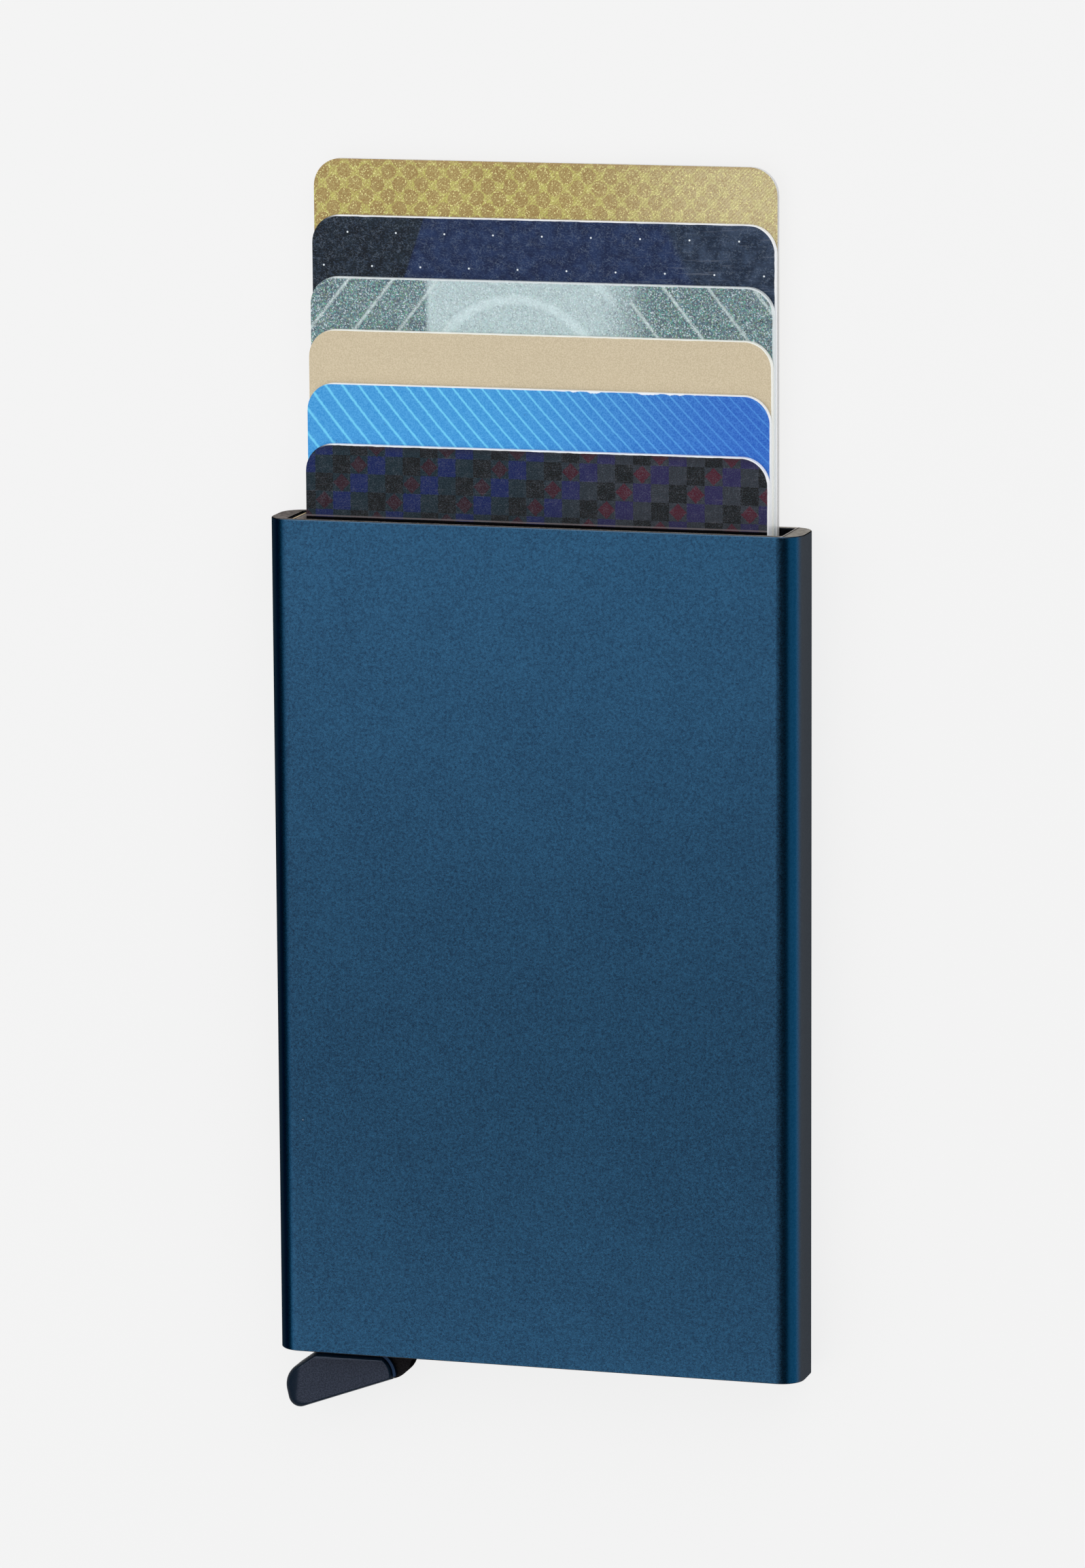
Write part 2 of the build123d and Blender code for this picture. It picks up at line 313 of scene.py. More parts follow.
def beside_slot(x, out):
    """1 on a thin line this far outside the slot's right end."""
    return line_mask(abs(x - (SLOT_HALF_WIDTH + out)), SLOT_LINE_HALF_WIDTH, 0.03)


def cut_metal(f, at, x, z):
    """Bare metal of the cut ends: painted lighter to the right and shaded to the left, with painted
    shade lines along the front and beside the slot and a painted highlight line beside the slot.
    """
    tone = f.mottled(at, CUT_GRAIN, HARD, CUT_METAL_DARK, CUT_METAL, detail=3.0)
    # Painted light on the right of the cut ends and painted shade on their left.
    tone = f.mix(x.step(*LIT_SIDE) * 0.35, tone, CUT_METAL_LIT)
    tone = f.mix(x.step(*SHADED_SIDE) * 0.3, tone, CUT_METAL_SHADED)
    shade_start = SLEEVE_FRONT - EDGE_SHADE_DEPTH
    # Painted shade along the front edge of the cut and in a line beside the slot, with a painted
    # highlight line between the slot and that shade.
    front_shade = z.step(shade_start - EDGE_SHADE_SOFTNESS, shade_start)
    slot_edge_shade = beside_slot(x, SLOT_SHADE_OUT)
    tone = f.mix(front_shade.over(slot_edge_shade) * 0.8, tone, CUT_EDGE_SHADE)
    return f.mix(beside_slot(x, SLOT_HIGHLIGHT_OUT) * 0.7, tone, CUT_EDGE_HIGHLIGHT)


def dust(f, at):
    """1 on a few grains of dust."""
    distance, cell = f.cells(at, DUST_SPACING)
    chosen = f.split(cell)[0].beyond(DUST_RARITY)
    return line_mask(distance, DUST_RADIUS, DUST_RADIUS / 2) * chosen


def anodised_sleeve():
    """Bead-blasted, anodised aluminium with cut ends, with painted shade on its rounded corners,
    sides, left edge and slot walls.
    """
    f = Finish("anodised_blue")
    at = f.place()
    face_x, face_y, face_z = f.facing()
    x, y, z = f.split(at)
    grain = f.split(f.cells(at, GRAIN_SIZE)[1])[0]
    rounded = face_x.step(*ROUNDED_RIGHT).over(face_x.step(*ROUNDED_LEFT))
    side = face_x.step(*SIDE_RIGHT).over(face_x.step(*SIDE_LEFT))
    left_edge = face_x.step(*SHADED_LEFT) * face_x.step(*FLAT_LEFT)
    inner = slot_walls(x, z)
    cut = abs(face_y).step(*CUT_END)
    lip = abs(face_y).step(*SLOT_LIP) * (1 - cut)
    # Painted shade: the rounded corners are a deeper, darker blue.
    colour = f.mix(rounded * 0.75, blue_grain(f, at, grain), SLEEVE_BLUE_CORNER_SHADE)
    # Painted shade: the sides are charcoal grey instead of the sleeve's blue, with a little grain.
    colour = f.mix(side, colour, f.mix(grain * 0.4, SLEEVE_SIDE_SHADE, SLEEVE_SIDE_SHADE_GRAIN))
    colour = f.mix(left_edge * 0.9, colour, SLEEVE_BLUE_SHADE)
    # Painted shade on the walls inside the slot.
    colour = f.mix(inner, colour, SLOT_SHADE)
    # Painted shade on the slot's lips, and a painted highlight on the mouth's front lip.
    colour = f.mix(lip, colour, mouth_lip(f, x, y, z, face_z))
    colour = f.mix(cut, colour, cut_metal(f, at, x, z))
    colour = f.mix(dust(f, at) * 0.8, colour, DUST)
    flat = (1 - side) * (1 - cut) * (1 - inner) * (1 - rounded.over(left_edge))
    pits = f.noise(at, PIT_SIZE, detail=1.0)
    shader = f.shader(
        colour, Metallic=(1 - side) * (1 - cut * 0.6), Roughness=0.25 + grain * 0.06 + cut * 0.2,
        Normal=f.bump(pits, PIT_DEPTH, 0.7), Specular_Tint=GRAZING_TINT, Specular_IOR_Level=0.0,
        Coat_Weight=flat * 0.5, Coat_Roughness=0.3,
    )
    return f.close(shader)


# Black mouldings, pin, leaf and felt

MOULD_RELIEF = 0.02
HANDLED_SIZE = 4.0


def moulded(name, dark, light, grain, rough, shine=0.1, dress=None):
    """Moulded plastic with a spark-eroded texture; dress paints tones, shade and glints onto some
    of it.
    """
    f = Finish(name)
    at = f.place()
    texture = f.noise(at, grain, detail=3.0).step(*HARD)
    handled = f.noise(at, HANDLED_SIZE)
    colour = f.mix(texture * 0.7 + handled * 0.3, dark, light)
    if dress:
        colour = dress(f, at, colour)
    shader = f.shader(
        colour, Roughness=rough + handled * 0.12, Normal=f.bump(texture, MOULD_RELIEF, 0.8),
        Specular_IOR_Level=shine,
    )
    return f.close(shader)


def black_moulding():
    """The base's two housings."""
    return moulded("black_moulding", paint(14, 14, 16), paint(30, 30, 33), grain=0.2, rough=0.42)


HUB_TOP = -47.5
HUB_HALF_DEPTH = 1.4
LEVER_RIB_NAVY_AND_HIGHLIGHT = paint(38, 54, 78)
LEVER_SHADE = paint(6, 6, 7)


def lever_tones(f, at, colour):
    """Bluish where the rib stands proud of the hub, the pad's navy with a painted highlight, and
    nearly black in painted shade where the arm faces right.
    """
    y, z = f.split(at)[1:]
    rib = abs(z - SLEEVE_MIDDLE).beyond(HUB_HALF_DEPTH) * (HUB_TOP - y).beyond(0)
    # Painted highlight on the rib over the pad's navy; painted shade where the arm faces right.
    colour = f.mix(rib, colour, LEVER_RIB_NAVY_AND_HIGHLIGHT)
    return f.mix(f.facing()[0].step(0.2, 0.6) * 0.8, colour, LEVER_SHADE)


def black_lever():
    """The arm of the finger lever, which takes no gloss."""
    return moulded(
        "black_lever", paint(20, 19, 21), paint(36, 34, 36), grain=0.16, rough=0.4, shine=0.0,
        dress=lever_tones,
    )


PAD_MIDDLE = -51.0
PAD_TOP = -48.73
PAD_SLOPE = 0.0294
PAD_BEVEL_SHADE = paint(9, 26, 42)
PAD_GLINT = paint(88, 98, 114)
PAD_FLAT = (0.93, 0.997)


def pad_tones(f, at, colour):
    """The pad's bevels and tip in painted shade, and painted glints on its upper and lower edges
    and along the top of its flat face.
    """
    x, y = f.split(at)[:2]
    face_y, face_z = f.facing()[1:]
    flat = abs(face_z).step(*PAD_FLAT)
    colour = f.mix(flat, PAD_BEVEL_SHADE, colour)
    upper = face_y.step(0.12, 0.2) * abs(face_z).step(0.9, 0.95)
    lower = face_y.step(-0.8, -0.9)
    colour = f.mix(upper.over(lower) * 0.6, colour, PAD_GLINT)
    # Painted highlight along the top of the flat face.
    top_line = (y - PAD_TOP - x * PAD_SLOPE).step(-0.4, -0.05) * flat
    colour = f.mix(top_line * 0.5, colour, PAD_GLINT)
    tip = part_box("finger_pad")[0].x / MM
    # Painted shade over the tip.
    near_tip = (tip - x + (y - PAD_MIDDLE) * 0.1).step(-2.1, -1.5)
    return f.mix(near_tip * 0.9, colour, PAD_BEVEL_SHADE)


def navy_pad():
    """The pad that the finger pushes."""
    return moulded(
        "navy_pad", paint(34, 40, 52), paint(58, 64, 80), grain=0.16, rough=0.4, dress=pad_tones,
    )


def steel():
    """Ground steel of the lever's pin, with rings from grinding."""
    f = Finish("ground_steel")
    at = f.place()
    x, y, z = f.split(at)
    rings = f.noise(f.join(x * 0.2, y * 0.2, z), 0.05, detail=1.0)
    colour = f.mix(rings, paint(150, 150, 152), paint(196, 196, 198))
    return f.close(f.shader(colour, Metallic=1.0, Roughness=0.2 + rings * 0.15))


def golden_leaf():
    """Rolled spring strip with a golden tone."""
    f = Finish("golden_strip")
    at = f.place()
    x, y, z = f.split(at)
    rolled = f.noise(f.join(x, y * 0.04, z), 0.08)
    colour = f.mix(rolled, paint(176, 142, 84), paint(222, 196, 138))
    shader = f.shader(
        colour, Metallic=1.0, Roughness=0.24 + rolled * 0.16, Normal=f.bump(rolled, 0.004, 0.5),
    )
    return f.close(shader)


def brown_felt():
    """Pressed felt."""
    f = Finish("pressed_felt")
    at = f.place()
    fibre = f.noise(at, 0.22, detail=4.0).step(*SOFT)
    colour = f.mix(fibre, paint(48, 36, 32), paint(104, 84, 72))
    shader = f.shader(
        colour, Roughness=0.95, Normal=f.bump(fibre, 0.08, 0.9), Sheen_Weight=0.3,
        Specular_IOR_Level=0.2,
    )
    return f.close(shader)


# Cards: a pair of places says where, across the card, a tone starts and where it is full

CARD_CORNER = 3.18
WHITE_EDGE = paint(238, 240, 244)
CORE_SHADE = paint(190, 192, 196)
BACK_SHADE = paint(170, 172, 176)
RIM_SOFTNESS = 0.04
WORN_FROM = (-25.5, -23.5)


class Card:
    """Where a card lies, in millimetres."""

    def __init__(self, colour):
        low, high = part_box("card_" + colour)
        self.name = "card_" + colour
        self.middle = (low.x + high.x) / 2 / MM
        self.middle_depth = (low.z + high.z) / 2 / MM
        self.top = high.y / MM
        self.width = (high.x - low.x) / MM
        self.length = (high.y - low.y) / MM
        self.thickness = (high.z - low.z) / MM

    def across_and_down(self, f, at):
        """How far a point lies right of the card's middle and below its top edge."""
        x, y = f.split(at)[:2]
        return x - self.middle, self.top - y

    def inside_outline(self, across, down):
        """How far a point near the card's outline lies inside it."""
        over_side = (abs(across) - (self.width / 2 - CARD_CORNER)).over(0)
        over_end = (abs(down - self.length / 2) - (self.length / 2 - CARD_CORNER)).over(0)
        return CARD_CORNER - hypotenuse(over_side, over_end)

    def cut_edge(self, f, at, core, film):
        """The white core that shows on the card's edges, between its two clear films."""
        depth = abs(f.split(at)[2] - self.middle_depth)
        films = depth.step(self.thickness * 0.36, self.thickness * 0.44)
        grain = f.noise(at, 0.5, detail=3.0)
        return f.mix(films * 0.5, f.mix(grain * 0.2, core, CORE_SHADE), film)


def finish_card(card, name, print_front, core, film, worn=0.0, back=None):
    """A laminated card: its printed front with a worn rim, its back and its cut edges."""
    f = Finish(name)
    at = f.place()
    across, down = card.across_and_down(f, at)
    face_z = f.facing()[2]
    printed, looks = print_front(f, at, across, down)
    if worn:
        rub = f.wander(at, 1.2, worn, detail=3.0)
        rim = line_mask(card.inside_outline(across, down) + rub, worn, RIM_SOFTNESS)
        printed = f.mix(rim * across.step(*WORN_FROM), printed, core)
    colour = f.mix(face_z.step(0.4, 0.6), card.cut_edge(f, at, core, film), printed)
    back_tone = back(f, at, card, across, down) if back else plain_back(f, at, core)
    colour = f.mix(face_z.step(-0.4, -0.6), colour, back_tone)
    sockets = {"Roughness": 0.25, "Specular_IOR_Level": 0.35}
    sockets.update(looks)
    put_on(f.close(f.shader(colour, **sockets)), card.name)


def plain_back(f, at, tone):
    """The unprinted side of a card."""
    return f.mix(f.noise(at, 2.0, detail=3.0) * 0.3, tone, BACK_SHADE)


def scuffs(f, at, along, beside, lean, size, limits):
    """Fine scratches, nearly straight across the card: noise drawn out in x, squeezed in y."""
    x, y, z = f.split(at)
    return f.noise(f.join(x * along, y * beside - x * lean, z), size, detail=3.0).step(*limits)


def curls(f, at, size, width):
    """Short curly hairlines: contours of a noise, broken by another."""
    contour = abs(f.noise(at, size, detail=1.0) - 0.5).step(width, 0)
    return contour * f.noise(at, size * 2.4, detail=1.0).step(0.42, 0.56)


def wrinkles(f, at, size):
    """Very fine creases of a clear film, a little longer across the card than along it."""
    x, y, z = f.split(at)
    return f.noise(f.join(x * 0.7, y * 1.3 + x * 0.2, z), size).step(0.46, 0.7)


FLAKE_TILT = 0.3


def glitter(f, at, size):
    """Small flakes: the random colour of each, and which way it faces."""
    cell = f.cells(at, size)[1]
    turn = f.vector("SUBTRACT", cell, (0.5, 0.5, 0.5))
    tilt = f.vector("MULTIPLY", turn, (FLAKE_TILT, FLAKE_TILT, 0.0))
    return cell, f.vector("NORMALIZE", f.vector("ADD", f.normal(), tilt))


GOLD_BROWN = paint(174, 152, 97)
GOLD_BROWN_LIGHT = paint(184, 164, 106)
GOLD_LATTICE = paint(204, 204, 100)
GOLD_LATTICE_LIGHT = paint(232, 228, 150)
GOLD_CREAM = paint(248, 238, 200)
GOLD_HATCH = paint(118, 100, 62)
GOLD_SHADE = paint(136, 98, 48)
GOLD_PAINTED_SPARKLE = paint(250, 246, 170)
GOLD_RIM = paint(170, 140, 100)
LATTICE_WIDTH = 2.6
LATTICE_HEIGHT = 2.8
HATCH_STEP = 0.42
GOLD_FLAKE = 0.1
PALE_END = (0, 24)


def gold_print(f, at, across, down):
    """Round brown cells in a lattice of gold glitter, under a fine diagonal hatch."""
    wander = f.wander(at, 0.6, 0.3)
    one = (across / LATTICE_WIDTH + down / LATTICE_HEIGHT + wander).to_line(1)
    two = (across / LATTICE_WIDTH - down / LATTICE_HEIGHT + wander).to_line(1)
    lattice = hypotenuse(0.5 - one, 0.5 - two).step(0.42, 0.5)
    cell, normal = glitter(f, at, GOLD_FLAKE)
    bright, tint, spark = f.split(cell)
    brown = f.mottled(at, 5.0, HARD, GOLD_BROWN, GOLD_BROWN_LIGHT)
    light = f.mix(tint, GOLD_LATTICE, GOLD_LATTICE_LIGHT)
    pale = across.step(*PALE_END)
    clear = 1 - pale * 0.3
    colour = f.mix(lattice * (0.35 + bright * 0.6) * clear, brown, light)
    colour = f.mix(pale * 0.42, colour, GOLD_CREAM)
    hatch = (across + down).to_line(HATCH_STEP).step(0.03, 0.12)
    colour = f.mix((1 - hatch) * 0.25, colour, GOLD_HATCH)
    colour = f.mix(tint.step(0.4, 0.9) * 0.6 * clear, colour, GOLD_SHADE)
    # Painted sparkle: bright flakes stand in for the glints of the glitter.
    colour = f.mix(spark.step(0.85, 0.99) * 0.85, colour, GOLD_PAINTED_SPARKLE)
    colour = f.mix(down.step(0.45, 0.05) * 0.5, colour, GOLD_RIM)
    return colour, {"Metallic": 0.2, "Normal": normal}


STRIPE_WIDTH = 12.7
STRIPE_INSET = 4.6
SIGNING_ACROSS = 1.0
SIGNING_DOWN = 34.0
SIGNING_WIDTH = 8.4
SIGNING_LENGTH = 52.0
STRIP_SOFTNESS = 0.05


def gold_back(f, at, card, across, down):
    """Back of the rear card: a dark magnetic stripe along one side and a pale signing strip."""
    ground = f.mix(f.noise(at, 0.4, detail=3.0), paint(176, 158, 104), paint(192, 174, 122))
    stripe_middle = card.width / 2 - STRIPE_INSET - STRIPE_WIDTH / 2
    stripe = line_mask(abs(across - stripe_middle), STRIPE_WIDTH / 2, STRIP_SOFTNESS)
    colour = f.mix(stripe, ground, paint(38, 34, 32))
    sign_across = line_mask(abs(across - SIGNING_ACROSS), SIGNING_WIDTH / 2, STRIP_SOFTNESS)
    sign_down = line_mask(abs(down - SIGNING_DOWN), SIGNING_LENGTH / 2, STRIP_SOFTNESS)
    return f.mix(sign_across * sign_down, colour, paint(222, 220, 212))


NAVY_FILM = paint(92, 114, 146)
NAVY_CURL = paint(128, 142, 160)
NAVY_DOT = paint(232, 240, 246)
NAVY_SCRATCH = paint(120, 126, 140)
NIGHT_FROM = (-13.9, -13.6)
DUSK_FROM = (13.4, 14.6)
SCRATCHED_FROM = (4, 16)
DOT_STEP = 5.7
DOT_ROW = 3.8
DOT_RADIUS = 0.1


def navy_print(f, at, across, down):
    """Night-blue print: tones that meet on slanted lines, and small white dots in offset rows."""
    dark = f.mottled(at, 1.6, (0.35, 0.7), paint(9, 17, 26), paint(21, 32, 42), detail=4.0)
    night = f.mottled(at, 1.4, SOFT, paint(14, 28, 62), paint(28, 46, 84), detail=4.0)
    dusk = f.mottled(at, 1.6, (0.35, 0.7), paint(20, 34, 54), paint(48, 62, 84), detail=4.0)
    left = (across + down * 0.35).step(*NIGHT_FROM)
    right = (across - down * 0.5).step(*DUSK_FROM)
    colour = f.mix(right, f.mix(left, dark, night), dusk)
    colour = f.mix(wrinkles(f, at, 0.14) * 0.24, colour, NAVY_FILM)
    colour = f.mix(curls(f, at, 0.36, 0.05) * 0.25, colour, NAVY_CURL)
    odd_row = (down / DOT_ROW).floor() % 2
    dot_x = (across + odd_row * (DOT_STEP / 2)).to_line(DOT_STEP)
    dot_y = (down - DOT_ROW / 2).to_line(DOT_ROW)
    colour = f.mix(line_mask(hypotenuse(dot_x, dot_y), DOT_RADIUS, 0.04), colour, NAVY_DOT)
    scratch = scuffs(f, at, along=0.12, beside=3.2, lean=0.1, size=0.5, limits=(0.6, 0.74))
    colour = f.mix(scratch * across.step(*SCRATCHED_FROM) * 0.35, colour, NAVY_SCRATCH)
    return colour, {"Roughness": 0.12, "Specular_IOR_Level": 0.2}


SILVER = paint(92, 118, 128)
SILVER_LIGHT = paint(108, 130, 140)
SILVER_DARK = paint(48, 74, 84)
SILVER_VEIL = paint(112, 144, 164)
SILVER_GLOW = paint(214, 234, 237)
SILVER_LINE = paint(206, 222, 222)
SILVER_PAINTED_SPARKLE = paint(226, 240, 244)
SILVER_PIT = paint(54, 78, 90)
SILVER_FLAKE = 0.12
ARC_ACROSS = -3.0
ARC_DOWN = 12.5
ARC_STEP = 5.2
ARC_HALF_WIDTH = 1.0
SLANT_STEP = 5.2
SLANT_HALF_WIDTH = 0.2
GLOW_LEFT = (-13.7, -12.9)
GLOW_RIGHT = (14.0, 6.0)


def silver_print(f, at, across, down):
    """Grey-green glitter with pale slanted lines, and a paler band of wide arcs in the middle."""
    cell, normal = glitter(f, at, SILVER_FLAKE)
    bright, tint, spark = f.split(cell)
    tone = f.mottled(at, 5.0, HARD, SILVER, SILVER_LIGHT)
    colour = f.mix(bright * 0.7, tone, SILVER_DARK)
    colour = f.mix(tint * 0.6, colour, f.mix(0.55, cell, SILVER_VEIL))
    radius = hypotenuse(across - ARC_ACROSS, down - ARC_DOWN)
    arc = line_mask(radius.to_line(ARC_STEP), ARC_HALF_WIDTH, 0.9) * abs(across + 1.0).step(13, 9)
    slant = (abs(across + 1.5) - down * 0.8).to_line(SLANT_STEP)
    thin = line_mask(slant, SLANT_HALF_WIDTH, 0.18) * abs(across).step(10, 11)
    glow = across.step(*GLOW_LEFT) * across.step(*GLOW_RIGHT)
    pale = (glow * 0.7).over(arc * glow * 0.95)
    colour = f.mix(pale * 0.9, colour, SILVER_GLOW)
    colour = f.mix(thin * 0.75, colour, SILVER_LINE)
    # Painted sparkle: bright flakes stand in for the glints of the glitter.
    colour = f.mix(spark.step(0.76, 0.94) * (0.65 - pale * 0.1), colour, SILVER_PAINTED_SPARKLE)
    colour = f.mix(bright.step(0.75, 0.92) * (0.5 - pale * 0.42), colour, SILVER_PIT)
    return colour, {"Metallic": 0.2, "Normal": normal}


def sand_print(f, at, across, down):
    """Plain sand-coloured print with a faint paper grain."""
    grain = f.noise(at, 0.13).step(*SOFT)
    colour = f.mix(grain, paint(190, 175, 146), paint(210, 196, 168))
    colour = f.mix(f.noise(at, 9.0) * 0.3, colour, paint(214, 196, 164))
    return colour, {"Normal": f.bump(grain, 0.006, 0.5)}


SKY_LEFT = paint(40, 140, 210)
SKY_RIGHT = paint(14, 84, 186)
SKY_GRAIN_LEFT = paint(94, 182, 236)
SKY_GRAIN_RIGHT = paint(70, 142, 222)
SKY_LINE_LEFT = paint(112, 210, 246)
SKY_LINE_RIGHT = paint(88, 166, 238)
SKY_WORN = paint(236, 244, 250)
SKY_SPECK = paint(40, 86, 130)
SKY_DEEPENS = (-8, 27)
SLANT_START = 27
RULE_STEP = 2.08
RULE_HALF_WIDTH = 0.16
SPECK_SPACING = 3.4


def blue_print(f, at, across, down):
    """Sky blue that deepens to the right, with thin slanted lines and a worn top edge."""
    shift = across.step(*SKY_DEEPENS)
    grain = f.noise(at, 0.15, detail=3.0).step(*SOFT)
    grain_tone = f.mix(shift, SKY_GRAIN_LEFT, SKY_GRAIN_RIGHT)
    colour = f.mix(grain * 0.5, f.mix(shift, SKY_LEFT, SKY_RIGHT), grain_tone)
    ragged = f.wander(at, 0.35, 0.3, detail=3.0)
    from_left = (across + SLANT_START).over(0)
    gathered = from_left * from_left * 0.0055
    slope = from_left * 0.015 + 0.73
    distance = (across - down * slope + ragged + gathered).to_line(RULE_STEP)
    line_tone = f.mix(shift, SKY_LINE_LEFT, SKY_LINE_RIGHT)
    line = line_mask(distance, RULE_HALF_WIDTH, 0.14)
    colour = f.mix(line * (0.9 - shift * 0.5), colour, line_tone)
    chips = f.wander(at, 1.1, 0.9, detail=4.0) * across.step(0, 6) * across.step(22, 16)
    colour = f.mix((down - chips).step(0.16, 0.06), colour, SKY_WORN)
    specks = f.cells(at, SPECK_SPACING)[0]
    colour = f.mix(line_mask(specks, 0.022, 0.012) * 0.6, colour, SKY_SPECK)
    return colour, {}


CHECK = 2.07
FIRST_COLUMN = 0.5
FIRST_ROW = 0.4
CHECK_ORDER = 4
CHECK_BLACK = paint(3, 5, 7)
REDDENS = (-6, 14)
FILM_CREASE = paint(92, 108, 122)
FILM_CURL = paint(134, 138, 150)
FILM_STREAK = paint(126, 122, 132)
TOP_SHADE = paint(30, 28, 34)
MOUTH_REFLECTION_DOWN = 8.2
MOUTH_REFLECTION = paint(134, 124, 126)
MOUTH_SHADE = paint(10, 10, 12)


def checks(f, at, across, down):
    """Grey-green, navy and black squares and dark red diamonds, in slanting order."""
    ragged = f.wander(at, 0.3, 0.12)
    column = across / CHECK + FIRST_COLUMN + ragged
    row = down / CHECK + FIRST_ROW + ragged
    turn = (column.floor() + row.floor()) % CHECK_ORDER
    inside_x = abs(column - column.floor() - 0.5)
    inside_y = abs(row - row.floor() - 0.5)
    diamond = (inside_x + inside_y).step(0.52, 0.46)
    shift = across.step(*REDDENS)
    ground = f.mix(shift, paint(9, 30, 40), paint(38, 42, 50))
    navy = f.mix(shift, paint(2, 22, 78), paint(32, 26, 72))
    red = f.mix(shift, paint(40, 8, 24), paint(66, 13, 32))
    colour = f.mix(line_mask(turn, 0.5, 0.01), ground, navy)
    colour = f.mix(line_mask(abs(turn - 2), 0.5, 0.01), colour, CHECK_BLACK)
    return f.mix(line_mask(abs(turn - 3), 0.5, 0.01) * diamond, colour, red)


def dark_print(f, at, across, down):
    """Dark checks under a creased film, with a painted reflection line across it where the sleeve's
    mouth meets it at rest, and painted shade below.
    """
    colour = checks(f, at, across, down)
    colour = f.mix(wrinkles(f, at, 0.12) * 0.24, colour, FILM_CREASE)
    colour = f.mix(curls(f, at, 0.3, 0.05) * 0.12, colour, FILM_CURL)
    streak = scuffs(f, at, along=0.14, beside=3.4, lean=0.3, size=0.55, limits=(0.62, 0.76))
    colour = f.mix(streak * 0.18, colour, FILM_STREAK)
    colour = f.mix(down.step(1.0, 0.1) * 0.4, colour, TOP_SHADE)
    # Painted shade below the line, where the card sits inside the sleeve's mouth, and a painted
    # reflection of the mouth's rim on the line.
    colour = f.mix(down.step(MOUTH_REFLECTION_DOWN + 0.1, MOUTH_REFLECTION_DOWN + 0.16), colour, MOUTH_SHADE)
    colour = f.mix(line_mask(abs(down - MOUTH_REFLECTION_DOWN), 0.08, 0.05) * 0.6, colour, MOUTH_REFLECTION)
    return colour, {"Roughness": 0.1, "Specular_IOR_Level": 0.2}


def finish_cards():
    """Each card's print, the colours of its core and films, and how wide its rim is worn."""
    finish_card(
        Card("gold"), "card_gold_flake", gold_print,
        core=paint(196, 196, 196), film=paint(150, 148, 156), back=gold_back,
    )
    finish_card(
        Card("navy"), "card_night_blue", navy_print,
        core=WHITE_EDGE, film=paint(200, 204, 214), worn=0.14,
    )
    finish_card(
        Card("silver"), "card_silver_flake", silver_print,
        core=paint(222, 230, 232), film=paint(190, 200, 206), worn=0.18,
    )
    finish_card(
        Card("sand"), "card_sand", sand_print,
        core=paint(240, 241, 234), film=paint(210, 200, 180), worn=0.12,
    )
    finish_card(
        Card("blue"), "card_sky_blue", blue_print,
        core=paint(236, 240, 244), film=paint(206, 210, 216), worn=0.08,
    )
    finish_card(
        Card("dark"), "card_dark_checks", dark_print,
        core=WHITE_EDGE, film=paint(214, 216, 226), worn=0.14,
    )


CONTACT_GOLD = paint(206, 170, 96)
CONTACT_GOLD_LIGHT = paint(232, 204, 140)
GROOVE_TONE = paint(84, 70, 46)
CONTACT_HEIGHT = 2.54
CONTACT_WIDTH = 3.9
GROOVE_HALF_WIDTH = 0.06


def gold_contacts():
    """Contact module: gold plating parted by narrow grooves."""
    f = Finish("contact_gold")
    at = f.place()
    x, y = f.split(at)[:2]
    level = line_mask(y.to_line(CONTACT_HEIGHT), GROOVE_HALF_WIDTH, 0.03)
    upright = line_mask(x.to_line(CONTACT_WIDTH), GROOVE_HALF_WIDTH, 0.03)
    groove = level.over(upright)
    worn = f.noise(at, 0.5, detail=3.0)
    colour = f.mix(groove, f.mix(worn, CONTACT_GOLD, CONTACT_GOLD_LIGHT), GROOVE_TONE)
    return f.close(f.shader(colour, Metallic=1 - groove, Roughness=0.25 + worn * 0.15))


# Friction strips with a nap

FELT_AROUND = 28
FELT_STEP = 0.28
FELT_SQUARENESS = 6
FELT_END_SHRINK = 0.86
NAP = 0.05
NAP_SIZE = 0.5
END_REACH = 0.5


def felt_ring(middle, half, along, shrink):
    """One ring of a strip's skin: a rounded rectangle across the strip, in millimetres."""
    ring = []
    for index in range(FELT_AROUND):
        angle = math.tau * index / FELT_AROUND
        wide, thick = math.cos(angle), math.sin(angle)
        squared = abs(wide) ** FELT_SQUARENESS + abs(thick) ** FELT_SQUARENESS
        reach = squared ** (-1 / FELT_SQUARENESS)
        offset = Vector((half.x * wide, 0, half.z * thick)) * reach * shrink
        point = Vector((middle.x, along, middle.z)) + offset
        nap = NAP * (noise.noise(point / NAP_SIZE) - 1) / 2
        ring.append(point + offset.normalized() * nap)
    return ring


def strip_end(node, y):
    """The middle and half the size of a strip's CAD solid at one of its ends, in millimetres."""
    corners = [vertex.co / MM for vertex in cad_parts[node].data.vertices]
    level = [corner for corner in corners if abs(corner.y - y) < END_REACH]
    low = Vector(min(corner[axis] for corner in level) for axis in range(3))
    high = Vector(max(corner[axis] for corner in level) for axis in range(3))
    return (low + high) / 2, (high - low) / 2


